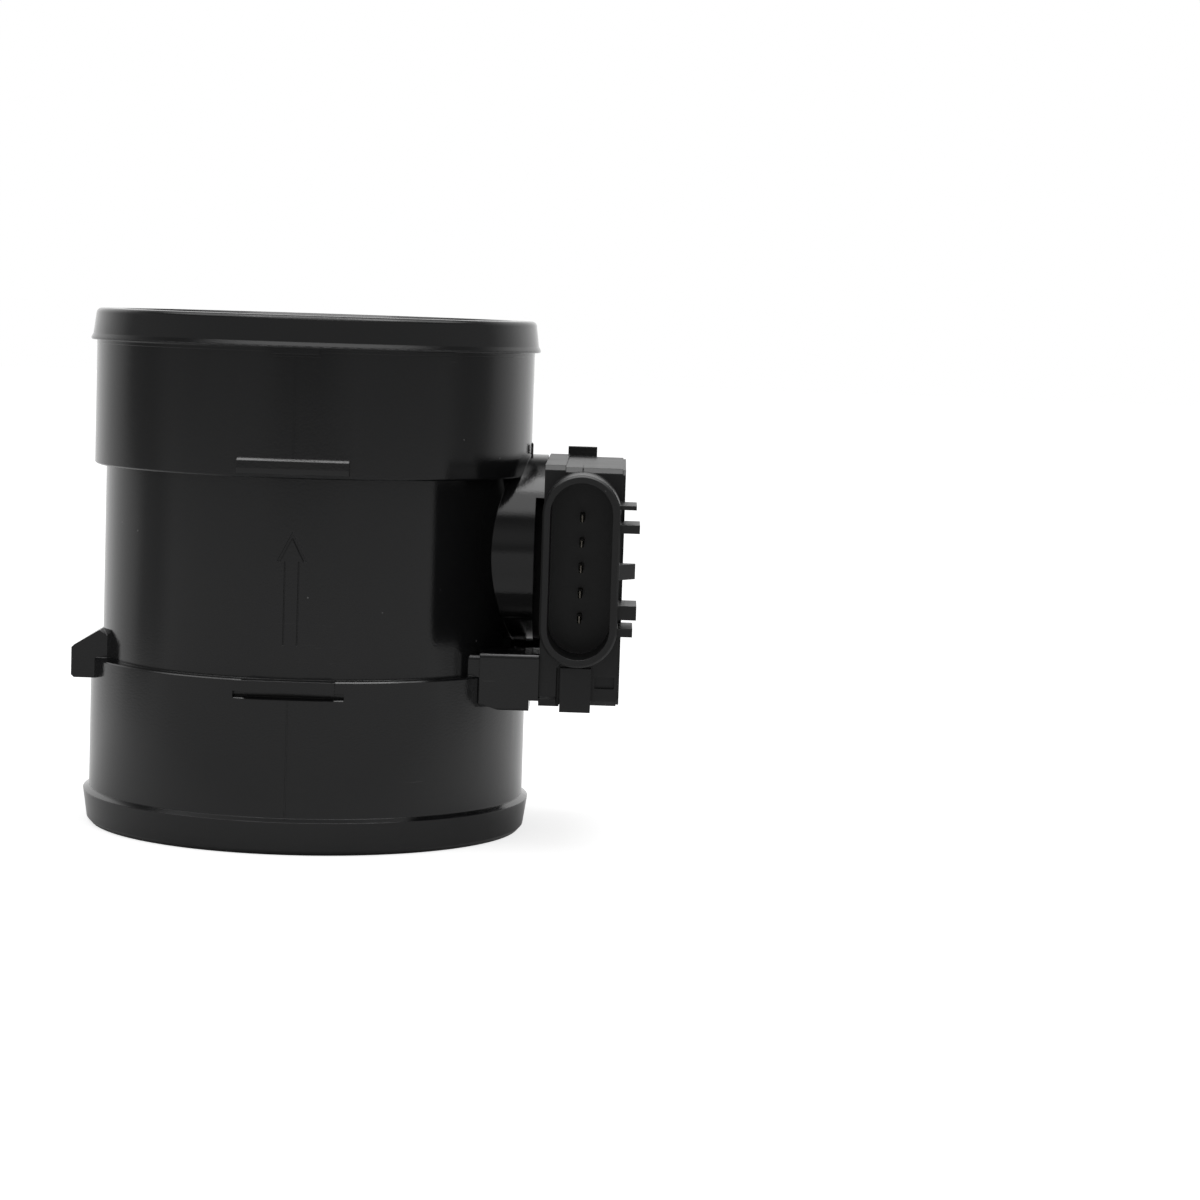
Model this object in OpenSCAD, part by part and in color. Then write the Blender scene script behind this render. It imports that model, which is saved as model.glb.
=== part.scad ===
// Mass airflow sensor: a moulded flow tube with an electronics module on its side.
// The origin is on the bore's axis at the inlet rim, and +Z runs with the air flow.
// The module sits on the +X side and its connector opens towards -Y.

/* [Flow tube] */
// Overall length of the tube
tube_len = 113; // [105:1:130]
// Bore of the throat
throat_d = 85; // [80:0.5:92]
// Wall of the two hose spigots
spigot_wall = 5.7; // [4.6:0.1:6.8]
// Wall of the waist between the spigots
waist_wall = 3.15; // [2.4:0.05:3.8]
// Length of the inlet spigot
inlet_spigot_len = 36.8; // [34:0.1:38]
// Length of the outlet spigot
outlet_spigot_len = 33.9; // [26:0.1:36]
// Rise of the two barbs over the spigots
barb_rise = 1.3; // [0.8:0.1:2]
// Distance of the inlet barb's crest from the rim
inlet_barb_len = 7.1; // [6:0.1:9]
// Distance of the outlet barb's crest from the rim
outlet_barb_len = 6.4; // [5:0.1:8]

/* [Inlet screen] */
// Depth of the counterbore that takes the screen
screen_seat_len = 8.5; // [7.5:0.1:11]
// Width of the screen rim's moulded section
rim_w = 2.3; // [1.8:0.1:3]
// Spacing of the screen's openings
mesh_pitch = 7.4; // [7.2:0.1:12]
// Thickness of one layer of the screen's bars
mesh_bar = 0.6; // [0.4:0.05:0.9]
// Thickness of the split spring ring
ring_t = 1; // [0.7:0.1:1.5]

/* [Sampling bridge] */
// Height of the sampling axis above the inlet rim
sensor_z = 59; // [57:0.5:61]
// Length of the bridge's streamlined section along the flow
bridge_chord = 24; // [20:0.5:28]
// Thickness of the bridge at its rounded leading edge
bridge_t = 9; // [8:0.1:11]
// Bore of the sampling tube
sample_d = 17; // [14:0.5:20]
// Wall of the sampling tube
sample_wall = 3; // [2:0.1:4]
// Length of the sampling tube
sample_len = 30; // [26:0.5:34]
// Diameter of the metal posts that carry the elements
post_d = 1; // [0.8:0.05:1.2]
// Distance between the heated element's posts
heated_span = 4.4; // [3.6:0.1:5]
// Distance between the reference element's posts
reference_span = 3; // [2.6:0.1:3.4]

/* [Pedestal] */
// Diameter of the round pedestal under the module
pedestal_d = 41.6; // [41:0.1:42]
// Rise of the pedestal's middle above the sampling axis
pedestal_shift = 3.9; // [3.6:0.1:4.1]
// Rise of the pedestal's face above the waist
pedestal_rise = 4.25; // [3.8:0.05:6]
// Thickness of the gasket between pedestal and module
gasket_t = 2; // [1.4:0.1:3]
// Distance of the lower module screws from the module's sides
lower_screw_inset = 6; // [5.6:0.1:6.6]
// Drop of the lower module screws below the sampling axis
lower_screw_drop = 23; // [22:0.5:24]
// Distance of the upper module screw from the module's top edge
upper_screw_inset = 4.4; // [4.4:0.1:4.8]

/* [Module] */
// Width of the module across the flow
module_w = 54; // [53:0.5:58]
// Height of the module along the flow
module_h = 51.2; // [50.8:0.1:54]
// Depth of the module away from the tube
module_depth = 17.3; // [16.5:0.1:21]
// Thickness of the tray's walls and floor
tray_wall = 2; // [1.6:0.1:2.4]
// Thickness of the cover
cover_t = 1.6; // [1:0.1:2]
// Height of the circuit board over the tray's floor
board_standoff = 2.5; // [2:0.1:3]
// Thickness of the circuit board
board_t = 1.6; // [1:0.1:2]

/* [Connector] */
// Width of the connector shroud
shroud_w = 16.5; // [15:0.1:18]
// Height of the connector shroud
shroud_h = 40.7; // [39:0.1:44]
// Wall of the connector shroud
shroud_wall = 1.65; // [1.2:0.05:2]
// Length of the connector shroud in front of the module
shroud_len = 14.5; // [12:0.5:20]
// Spacing of the five terminals
pin_pitch = 5.4; // [4.8:0.1:5.8]
// Length of the terminals inside the shroud
pin_len = 7.5; // [5:0.5:9]
// Width of the terminal blades
pin_w = 1.5; // [1:0.1:2]
// Thickness of the terminal blades
pin_t = 0.8; // [0.6:0.05:1]

/* [Hidden] */
$fn = 96;
fit = 0.15;          // clearance round a piece that slots into another
snug = 0.05;         // clearance round a metal part in a moulded hole
eps = 0.5;           // overshoot of a cut
merge = 1;           // depth of a form's root in the piece that carries it

throat_r = throat_d / 2;
spigot_r = throat_r + spigot_wall;
waist_r = throat_r + waist_wall;
barb_r = spigot_r + barb_rise;
low_shoulder_z = inlet_spigot_len;
high_shoulder_z = tube_len - outlet_spigot_len;
rim_round = 1.2;
edge_cut = 0.3;
inlet_lip_in = 0.5;
inlet_lip_out = 0.4;
inlet_lip_h = 1;
barb_undercut = 0.7;
barb_land_w = 0.45;
barb_land_h = 0.9;
lip_groove = 0.45;
outlet_rim_rise = 0.3;
outlet_rim_r = spigot_r + outlet_rim_rise;

screen_step = 1.9;
ring_setback = 6;
mesh_hold = 1.2;
screen_seat_r = throat_r + screen_step;
ring_groove_z = screen_seat_len - ring_setback;
ring_w = 2;
ring_groove_deep = 0.8;
ring_axial_gap = 0.05;
ring_gap_w = 10;
rim_r = screen_seat_r - fit;
rim_low_z = ring_groove_z + ring_t + ring_axial_gap;
rim_inner_r = rim_r - rim_w;
mesh_edge_r = rim_inner_r + mesh_hold;
mesh_bar_h = 1.2 * mesh_bar;
mesh_z = (rim_low_z + screen_seat_len) / 2 - mesh_bar;

bridge_lead_r = bridge_t / 2;
bridge_tail_r = 1.2;
bridge_low_z = sensor_z - bridge_chord / 2;
bridge_socket_deep = 1;
sample_r = sample_d / 2;
sample_outer_r = sample_r + sample_wall;
sample_low_z = sensor_z - sample_len / 2;
root_side = 2;
root_w = bridge_t + 2 * root_side;
root_h = bridge_chord;
root_corner_r = 3;
root_in = 3;
root_flange_lip = 2.5;
root_flange_t = 2;
post_r = post_d / 2;
heated_drop = 5;
reference_rise = 2;
heated_z = sensor_z - heated_drop;
reference_z = sensor_z + reference_rise;
thermistor_out = 0.66;      // share of the throat's radius
thermistor_x = thermistor_out * throat_r;
thermistor_span = 1.8;
thermistor_lead_d = 0.7;
thermistor_lead_in = 2.6;
thermistor_lead_z = bridge_low_z + thermistor_lead_in;
thermistor_r = 1.3;
thermistor_body_h = 1.8;
thermistor_drop = 2.2;
post_past = 0.6;
heated_r = 0.55;
reference_r = 0.45;
element_cap_h = 0.5;
element_cap_rise = 0.12;
mouth_cut_h = 2;
mouth_cut_w = 1;

flange_x = waist_r + pedestal_rise;
base_x = flange_x + gasket_t;
lower_screw_y = module_w / 2 - lower_screw_inset;
lower_screw_z = sensor_z - lower_screw_drop;
module_foot = 4.85;
module_low_z = lower_screw_z - module_foot;
module_high_z = module_low_z + module_h;
module_zc = (module_low_z + module_high_z) / 2;
module_front_y = -module_w / 2;
upper_screw_z = module_high_z - upper_screw_inset;
screw_spots = [
    [-lower_screw_y, lower_screw_z],
    [lower_screw_y, lower_screw_z],
    [0, upper_screw_z]
];

pedestal_r = pedestal_d / 2;
pedestal_z = sensor_z + pedestal_shift;
pedestal_root_in = 8;
pedestal_root_x = throat_r - pedestal_root_in;
upper_land_drop = 3;
upper_land_z = upper_screw_z - upper_land_drop;
root_flange_low_z = sensor_z - root_h / 2 - root_flange_lip;
root_flange_gap = 4.45;
root_flange_high_z = upper_screw_z - root_flange_gap;
gasket_over = 1.1;
gasket_w = 3.2;
ear_reach = 7.5;
ear_drop = 6.3;
ear_rise = 6;
ear_low_z = lower_screw_z - ear_drop;
ear_high_z = lower_screw_z + ear_rise;
ear_out_y = lower_screw_y + ear_reach;
ear_in_y = lower_screw_y - ear_reach;
ear_land_rise = 2.2;
ear_root_in = 13;
ear_face_in = 6.5;
ear_land_z = ear_low_z + ear_land_rise;
ear_root_x = throat_r - ear_root_in;
ear_face_x = waist_r - ear_face_in;
ear_step = 1.3;
ear_round = 1;
ear_cut_w = 4.2;
ear_cut_h = 1.5;
fin_w = 1.4;
fin_h = 2.6;
fin_out = 0.35;
pilot_deep = 5.2;
pilot_spare = 0.4;

base_t = 4.4;
base_over = 0.4;
base_bead_h = 0.6;
base_bead_out = 0.5;
body_x = base_x + base_t;
top_x = base_x + module_depth;
module_edge_cut = 1.05;
top_edge_cut = 0.6;
cover_inset = 0.6;
ledge_w = 1;
sealant_t = 0.4;
cover_x = top_x - cover_inset - cover_t;
ledge_x = cover_x - sealant_t;
tray_in_w = module_w - 2 * tray_wall - 2 * ledge_w;
tray_in_h = module_h - 2 * tray_wall - 2 * ledge_w;
tray_corner_r = 1.2;
cover_corner_r = 1.5;
floor_x = base_x + tray_wall;
board_x = floor_x + board_standoff;
board_top_x = board_x + board_t;
board_side = 1;
board_w = 2 * (lower_screw_y + board_side);
board_low_gap = 7;
board_high_gap = 3.3;
board_low_z = lower_screw_z + board_low_gap;
board_high_z = upper_screw_z - board_high_gap;
board_corner_r = 2;
post_window_w = 9;
post_window_h = 19;
post_window_drop = 2;
standoff_r = 2;
standoff_side = 5.8;
standoff_y = board_w / 2 - standoff_side;
standoff_inset = 2.8;
spreader_inset = 15.5;
spreader_y = board_w / 2 - spreader_inset;
spreader_w = 11;
spreader_gap = 0.55;
spreader_low_z = board_low_z + standoff_inset + standoff_r + spreader_gap;
spreader_h = 2 * ((board_low_z + board_high_z) / 2 - spreader_low_z);
chip_y = -16.5;
chip_drop = 12.65;
chip_size = [1.7, 10, 10];
transistor_y = 8;
transistor_drop = 9;
transistor_size = [2.4, 7, 9.5];
tab_size = [0.6, 5, 1.5];
capacitor_y = 6.5;
capacitor_pitch = 5;
capacitor_drop = 6.65;
capacitor_size = [2.2, 3.2, 4.6];
resistor_y = -13;
resistor_pitch = 4.4;
resistor_drop = 14;
resistor_size = [0.6, 1.6, 3.2];

screw_r = 1.5;
screw_head_r = 2.7;
screw_head_h = 2;
screw_recess_r = 0.9;
screw_recess_deep = 1.1;
screw_play = 0.2;
well_wall = 1.3;
well_floor_t = 2.5;
screw_hole_r = screw_r + screw_play;
well_r = screw_head_r + screw_play;
well_wall_r = well_r + well_wall;
well_floor_x = base_x + well_floor_t;

shroud_x = base_x + shroud_w / 2;
shroud_rise = 2.15;
shroud_zc = sensor_z + shroud_rise;
shroud_y = module_front_y - shroud_len;
shroud_edge_cut = 0.45;
pin_shift = 0.1;
pin_leg_in = 2;
pin_x = shroud_x + pin_shift;
pin_leg_y = pin_leg_in - board_w / 2;
pin_foot = 0.8;
pin_point = 0.5;
pin_point_w = 0.25;
guide_reach = [3.3, 4.1, 3.9, 3.2];
guide_t = [0.9, 1.8, 3.0, 1.8];
guide_rise = [13.7, 9.2, -8.5, -12.7];
guide_setback = 1.5;
ramp_reach = 3.4;
ramp_t = 3.2;
ramp_len = 6;
ramp_back = 1.5;
strap_out = 4.6;
strap_x = base_x + strap_out;
strap_w = 6.6;
strap_t = 1.4;
strap_gap = 1.5;
strap_high_z = shroud_zc - shroud_h / 2 - strap_gap;
strap_foot = 8;
catch_out = 4;
catch_x = base_x + catch_out;
catch_h = 2.2;
catch_len = 14;
groove_w = 0.6;
groove_deep = 0.7;
recess_gap = 0.8;
recess_rise = 3.8;
recess_w = 4.2;
recess_h = 2.4;
recess_deep = 0.9;

arrow_rise = 8.2;
arrow_drop = 15;
arrow_tip_z = sensor_z + arrow_rise;
arrow_foot_z = sensor_z - arrow_drop;
arrow_head_h = 5.6;
arrow_head_w = 6.4;
arrow_line = 0.75;
arrow_deep = 0.45;
shaft_w = 2.9;
shaft_line = 0.3;
shaft_deep = 0.2;

pad_w = 23.4;
pad_rise = 0.75;
upper_pad_gap = 0.8;
upper_pad_h = 3.3;
upper_pad_low_z = high_shoulder_z + upper_pad_gap;
upper_pad_high_z = upper_pad_low_z + upper_pad_h;
upper_pad_cut = 1.2;
upper_pad_edge = 0.5;
lower_pad_w = 19.6;
lower_pad_h = 2.5;
lower_pad_low_z = low_shoulder_z - lower_pad_h;
lower_slot_h = 1.1;
lower_slot_deep = 3.6;
lower_slot_edge = 0.5;
lip_tab_w = 10;
lip_tab_h = 1;
lip_tab_in = 0.3;
lip_tab_r = barb_r - lip_tab_in;
pad_root_y = throat_r + merge;
lug_w = 31;
lug_rise = 2.55;
lug_drop = 4.5;
lug_out_x = spigot_r + lug_rise;
lug_low_z = low_shoulder_z - lug_drop;
lug_face_h = 6.6;
lug_h = 10.5;
lug_cut = 0.6;
lug_foot_in = 1.9;
lug_top_in = 3.4;
lug_root_in = 4;
lug_foot_x = spigot_r - lug_foot_in;
lug_top_x = spigot_r - lug_top_in;
lug_root_x = throat_r - lug_root_in;

// Points of an arc, from one angle to another
function arc(cx, cy, r, from, to, steps) =
    [for (i = [0 : steps]) let (a = from + (to - from) * i / steps)
        [cx + r * cos(a), cy + r * sin(a)]];

// Extrudes a drawing in Y and Z along X
module along_x(x0, x1) {
    translate([x0, 0, 0]) rotate([90, 0, 90]) linear_extrude(x1 - x0) children();
}

// Extrudes a drawing in X and Z along Y
module along_y(y0, y1) {
    translate([0, y1, 0]) rotate([90, 0, 0]) linear_extrude(y1 - y0) children();
}

module round_rect(w, h, r) {
    square([w - 2 * r, h], center = true);
    square([w, h - 2 * r], center = true);
    for (x = [-1, 1], y = [-1, 1])
        translate([x * (w / 2 - r), y * (h / 2 - r)]) circle(r);
}

module obround(w, h) {
    square([w, h - w], center = true);
    for (y = [-1, 1]) translate([0, y * (h - w) / 2]) circle(w / 2);
}

// The tube's wall, from the inlet rim up the outside and back down the bore
module tube_section() {
    top = tube_len;
    crest_z = top - outlet_barb_len;
    polygon(concat(
        [[screen_seat_r + rim_round, 0], [spigot_r - inlet_lip_in, 0],
            [spigot_r + inlet_lip_out, inlet_lip_h],
            [barb_r, inlet_barb_len], [spigot_r, inlet_barb_len + barb_undercut],
            [spigot_r, low_shoulder_z - edge_cut], [spigot_r - edge_cut, low_shoulder_z],
            [waist_r, low_shoulder_z], [waist_r, high_shoulder_z],
            [spigot_r - edge_cut, high_shoulder_z], [spigot_r, high_shoulder_z + edge_cut],
            [spigot_r, crest_z - barb_undercut - lip_groove],
            [spigot_r - lip_groove, crest_z - barb_undercut], [barb_r, crest_z],
            [barb_r - barb_land_w, crest_z + barb_land_h]],
        arc(outlet_rim_r - rim_round, top - rim_round, rim_round, 0, 90, 6),
        [[throat_r + edge_cut * 2, top], [throat_r, top - edge_cut * 2],
            [throat_r, screen_seat_len], [screen_seat_r, screen_seat_len],
            [screen_seat_r, ring_groove_z + ring_t + ring_axial_gap],
            [screen_seat_r + ring_groove_deep, ring_groove_z + ring_t + ring_axial_gap],
            [screen_seat_r + ring_groove_deep, ring_groove_z],
            [screen_seat_r, ring_groove_z], [screen_seat_r, rim_round]]));
}

// Outline of the pedestal's lower ear, from a height up, set back at its outer side
module ear_outline(low_z, inset) {
    translate([(ear_in_y + ear_out_y - inset) / 2, (low_z + ear_high_z) / 2])
        round_rect(ear_out_y - inset - ear_in_y, ear_high_z - low_z - inset, ear_round);
}

// Lower ear: a block that is stepped at its root and cut back under its outer corner
module lower_ear() {
    difference() {
        union() {
            along_x(ear_root_x, flange_x) ear_outline(ear_low_z, ear_step);
            along_x(ear_face_x, flange_x) ear_outline(ear_low_z, 0);
            along_x(flange_x - merge, base_x) ear_outline(ear_land_z, 0);
        }
        along_y(ear_in_y - eps, ear_out_y + eps)
            polygon([[ear_root_x - eps, ear_low_z - eps], [ear_face_x + ear_cut_w, ear_low_z - eps],
                [ear_face_x + ear_cut_w, ear_low_z], [ear_face_x, ear_low_z + ear_cut_h],
                [ear_root_x - eps, ear_low_z + ear_cut_h]]);
    }
}

// Round pedestal with a raised land at its upper screw, and the two lower ears
module pedestal() {
    top_z = pedestal_z + pedestal_r;
    translate([pedestal_root_x, 0, pedestal_z]) rotate([0, 90, 0])
        cylinder(r = pedestal_r, h = flange_x - pedestal_root_x, $fn = 144);
    intersection() {
        translate([flange_x - merge, 0, pedestal_z]) rotate([0, 90, 0])
            cylinder(r = pedestal_r, h = gasket_t + merge, $fn = 144);
        translate([flange_x - merge, -pedestal_r, upper_land_z])
            cube([gasket_t + merge, pedestal_d, top_z - upper_land_z]);
    }
    lower_ear();
    mirror([0, 1, 0]) lower_ear();
    along_y(-fin_w / 2, fin_w / 2)
        polygon([[spigot_r - merge, top_z - merge], [spigot_r + fin_out, top_z - merge],
            [spigot_r + fin_out, top_z + fin_h - fin_out], [spigot_r, top_z + fin_h],
            [spigot_r - merge, top_z + fin_h]]);
}

// Lug that sits on the lower shoulder, opposite the module
module locating_lug() {
    face_low_z = lug_low_z + lug_cut;
    face_high_z = lug_low_z + lug_face_h;
    along_y(-lug_w / 2, lug_w / 2)
        polygon([[-lug_root_x, lug_low_z], [-lug_foot_x, lug_low_z], [-lug_out_x + lug_cut, lug_low_z],
            [-lug_out_x, face_low_z], [-lug_out_x, face_high_z],
            [-lug_out_x + lug_cut, face_high_z + lug_cut], [-lug_top_x, lug_low_z + lug_h],
            [-lug_root_x, face_high_z]]);
}

// Flat pads at the shoulders, on the side that the connector opens to
module shoulder_pads() {
    face_y = -spigot_r - pad_rise;
    along_x(-pad_w / 2, pad_w / 2)
        polygon([[-pad_root_y, upper_pad_low_z], [-spigot_r, upper_pad_low_z],
            [face_y, upper_pad_low_z + upper_pad_cut], [face_y, upper_pad_high_z - upper_pad_edge],
            [face_y + upper_pad_edge, upper_pad_high_z], [-pad_root_y, upper_pad_high_z]]);
    translate([-lower_pad_w / 2, face_y, lower_pad_low_z])
        cube([lower_pad_w, -pad_root_y - face_y, low_shoulder_z - lower_pad_low_z]);
    translate([-lip_tab_w / 2, -lip_tab_r, tube_len - outlet_barb_len - barb_undercut - lip_tab_h])
        cube([lip_tab_w, lip_tab_r - pad_root_y, lip_tab_h + barb_undercut]);
}

// Slot under the lower pad, with its lower edge broken at 45 degrees
module pad_slot() {
    slot_z = lower_pad_low_z - lower_slot_h;
    cut_r = spigot_r + pad_rise + eps;
    translate([-pad_w / 2, -cut_r, slot_z])
        cube([pad_w, cut_r - spigot_r + lower_slot_deep, lower_slot_h]);
    edge_r = spigot_r - lower_slot_edge;
    edge_low_z = slot_z + edge_r - cut_r;
    intersection() {
        rotate_extrude($fn = 180)
            polygon([[edge_r, slot_z], [cut_r, edge_low_z], [cut_r, slot_z + eps], [edge_r, slot_z + eps]]);
        translate([-pad_w / 2, -cut_r - eps, edge_low_z - eps])
            cube([pad_w, cut_r, slot_z - edge_low_z + 2 * eps]);
    }
}

// Groove under the outlet barb's tab, at the same slope as the one beside it
module tab_groove() {
    tab_z = tube_len - outlet_barb_len - barb_undercut - lip_tab_h;
    cut_r = barb_r + eps;
    along_x(-lip_tab_w / 2, lip_tab_w / 2)
        polygon([[-cut_r, tab_z], [-spigot_r + lip_groove, tab_z],
            [-cut_r, tab_z - cut_r + spigot_r - lip_groove]]);
}

// Flow arrow: an engraved head and the two fine lines of its shaft
module flow_arrow() {
    cut_y = -waist_r - eps;
    head_side = [arrow_head_w / 2, -arrow_head_h];
    along_y(cut_y, -waist_r + arrow_deep)
        for (side = [-1, 1])
            polygon([[0, arrow_tip_z + arrow_line], [side * head_side[0], arrow_tip_z + head_side[1]],
                [side * (head_side[0] - arrow_line), arrow_tip_z + head_side[1]],
                [0, arrow_tip_z - arrow_line]]);
    along_y(cut_y, -waist_r + shaft_deep)
        for (side = [-1, 1])
            translate([side * shaft_w / 2 - shaft_line / 2, arrow_foot_z])
                square([shaft_line, arrow_tip_z - arrow_head_h - arrow_foot_z]);
}

module flow_tube() {
    color("#1c1d1f") difference() {
        union() {
            rotate_extrude($fn = 180) tube_section();
            difference() {
                union() {
                    pedestal();
                    locating_lug();
                    shoulder_pads();
                }
                translate([0, 0, -eps]) cylinder(r = throat_r, h = tube_len + 2 * eps, $fn = 180);
            }
        }
        along_x(throat_r - root_in, flange_x + eps)
            translate([0, sensor_z]) round_rect(root_w + 2 * fit, root_h + 2 * fit, root_corner_r);
        along_x(flange_x - root_flange_t, flange_x + eps) root_flange_outline(fit, root_corner_r);
        along_x(-throat_r - bridge_socket_deep, 0) bridge_section(fit);
        along_x(flange_x - pilot_deep, base_x + eps) well_circles(screw_r + snug);
        pad_slot();
        tab_groove();
        flow_arrow();
    }
}

module inlet_screen() {
    count = floor(mesh_edge_r / mesh_pitch);
    color("#8c8f93") {
        translate([0, 0, mesh_z]) difference() {
            cylinder(r = mesh_edge_r, h = 2 * mesh_bar);
            translate([0, 0, -eps]) cylinder(r = rim_inner_r, h = 2 * mesh_bar + 2 * eps);
        }
        for (i = [-count : count]) {
            bar_l = 2 * sqrt(pow(rim_inner_r + mesh_bar / 2, 2) - pow(i * mesh_pitch, 2));
            translate([i * mesh_pitch - mesh_bar / 2, -bar_l / 2, mesh_z])
                cube([mesh_bar, bar_l, mesh_bar_h]);
            translate([-bar_l / 2, i * mesh_pitch - mesh_bar / 2, mesh_z + 2 * mesh_bar - mesh_bar_h])
                cube([bar_l, mesh_bar, mesh_bar_h]);
        }
    }
}

module screen_rim() {
    groove_low_z = mesh_z - snug;
    groove_high_z = mesh_z + 2 * mesh_bar + snug;
    color("#222325") rotate_extrude()
        polygon([[rim_inner_r, rim_low_z], [rim_r, rim_low_z], [rim_r, screen_seat_len],
            [rim_inner_r, screen_seat_len], [rim_inner_r, groove_high_z],
            [mesh_edge_r + snug, groove_high_z], [mesh_edge_r + snug, groove_low_z],
            [rim_inner_r, groove_low_z]]);
}

module screen_ring() {
    outer_r = screen_seat_r + ring_groove_deep - fit;
    color("#9b9ea3") translate([0, 0, ring_groove_z + ring_axial_gap]) difference() {
        cylinder(r = outer_r, h = ring_t);
        translate([0, 0, -eps]) cylinder(r = outer_r - ring_w, h = ring_t + 2 * eps);
        translate([-ring_gap_w / 2, -outer_r - eps, -eps])
            cube([ring_gap_w, 4 * ring_w, ring_t + 2 * eps]);
    }
}

// Streamlined section of the bridge: a round leading edge tapering to a thin tail
module bridge_section(grow) {
    lead_z = bridge_low_z + bridge_lead_r;
    tail_z = bridge_low_z + bridge_chord - bridge_tail_r;
    slope = asin((bridge_lead_r - bridge_tail_r) / (tail_z - lead_z));
    polygon(concat(
        arc(0, lead_z, bridge_lead_r + grow, 180 - slope, 360 + slope, 28),
        arc(0, tail_z, bridge_tail_r + grow, slope, 180 - slope, 8)));
}

// Outline of the flange at the bridge's root, grown all round
module root_flange_outline(grow, corner_r) {
    translate([0, (root_flange_low_z + root_flange_high_z) / 2])
        round_rect(root_w + 2 * root_flange_lip + 2 * grow,
            root_flange_high_z - root_flange_low_z + 2 * grow, corner_r);
}

// Section of the sampling tube's wall with its rounded mouth
module sample_section() {
    mouth_r = sample_wall / 2;
    top = sample_low_z + sample_len;
    polygon(concat(
        arc(sample_r + mouth_r, sample_low_z + mouth_r, mouth_r, 180, 360, 12),
        [[sample_outer_r, top - mouth_cut_h], [sample_r + mouth_cut_w, top], [sample_r, top]]));
}

module sampling_bridge() {
    color("#26272a") difference() {
        union() {
            difference() {
                along_x(-throat_r - bridge_socket_deep + fit, flange_x - root_flange_t) bridge_section(0);
                translate([0, 0, sample_low_z]) cylinder(r = sample_r + sample_wall / 2, h = sample_len);
            }
            difference() {
                along_x(throat_r - root_in, flange_x - root_flange_t)
                    translate([0, sensor_z]) round_rect(root_w, root_h, root_corner_r);
                cylinder(r = throat_r, h = tube_len, $fn = 180);
            }
            along_x(flange_x - root_flange_t, flange_x) root_flange_outline(0, root_corner_r);
            rotate_extrude() sample_section();
        }
        lead_shapes(snug);
    }
}

// Posts and leads that carry the elements from the sampling tube to the board
module lead_shapes(grow) {
    end_x = board_top_x + post_past;
    for (side = [-1, 1]) {
        translate([-post_past, side * heated_span / 2, heated_z])
            rotate([0, 90, 0]) cylinder(r = post_r + grow, h = end_x + post_past, $fn = 24);
        translate([-post_past, side * reference_span / 2, reference_z])
            rotate([0, 90, 0]) cylinder(r = post_r + grow, h = end_x + post_past, $fn = 24);
        translate([thermistor_x, side * thermistor_span / 2, thermistor_lead_z])
            rotate([0, 90, 0])
                cylinder(r = thermistor_lead_d / 2 + grow, h = end_x - thermistor_x, $fn = 24);
        translate([thermistor_x, side * thermistor_span / 2, bridge_low_z - thermistor_drop])
            cylinder(r = thermistor_lead_d / 2 + grow,
                h = thermistor_lead_z - bridge_low_z + thermistor_drop, $fn = 24);
        translate([thermistor_x, side * thermistor_span / 2, thermistor_lead_z])
            sphere(r = thermistor_lead_d / 2 + grow, $fn = 24);
    }
}

module sensor_leads() {
    color("#b8b4a8") lead_shapes(0);
}

// Ceramic former with a metal cap at each end, held between two posts
module wound_element(span, z, body_r) {
    half = span / 2 - post_r;
    translate([0, 0, z]) rotate([90, 0, 0]) {
        cylinder(r = body_r, h = 2 * (half - element_cap_h), center = true, $fn = 32);
        for (side = [-1, 1])
            translate([0, 0, side * (half - element_cap_h / 2)])
                cylinder(r = body_r + element_cap_rise, h = element_cap_h, center = true, $fn = 32);
    }
}

module heated_element() {
    color("#d9d6cc") wound_element(heated_span, heated_z, heated_r);
}

module reference_element() {
    color("#cfccc2") wound_element(reference_span, reference_z, reference_r);
}

module air_thermistor() {
    color("#2d3b34")
        translate([thermistor_x, 0, bridge_low_z - thermistor_drop - thermistor_body_h]) {
        cylinder(r = thermistor_r, h = thermistor_body_h, $fn = 32);
        sphere(r = thermistor_r, $fn = 32);
    }
}

module pedestal_gasket() {
    color("#3a3a3c") along_x(flange_x, base_x) difference() {
        root_flange_outline(gasket_over, root_corner_r + gasket_over);
        root_flange_outline(gasket_over - gasket_w, root_corner_r + gasket_over - gasket_w / 2);
    }
}

// Outline of the module, cut at its four corners
module module_outline(grow) {
    half_w = module_w / 2 + grow;
    half_h = module_h / 2 + grow;
    cut = module_edge_cut;
    translate([0, module_zc])
        polygon([[-half_w, cut - half_h], [cut - half_w, -half_h], [half_w - cut, -half_h],
            [half_w, cut - half_h], [half_w, half_h - cut], [half_w - cut, half_h],
            [cut - half_w, half_h], [-half_w, half_h - cut]]);
}

// Front end of the shroud, broken at 45 degrees all round
module shroud_lip() {
    half = (shroud_h - shroud_w) / 2;
    low_r = shroud_w / 2 - shroud_edge_cut;
    back_y = shroud_y + shroud_edge_cut;
    for (z = [-half, half])
        translate([shroud_x, back_y, shroud_zc + z]) rotate([90, 0, 0])
            cylinder(r1 = shroud_w / 2, r2 = low_r, h = shroud_edge_cut);
    translate([shroud_x, 0, shroud_zc - half]) linear_extrude(2 * half)
        polygon([[-shroud_w / 2, back_y], [-low_r, shroud_y], [low_r, shroud_y], [shroud_w / 2, back_y]]);
}

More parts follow.
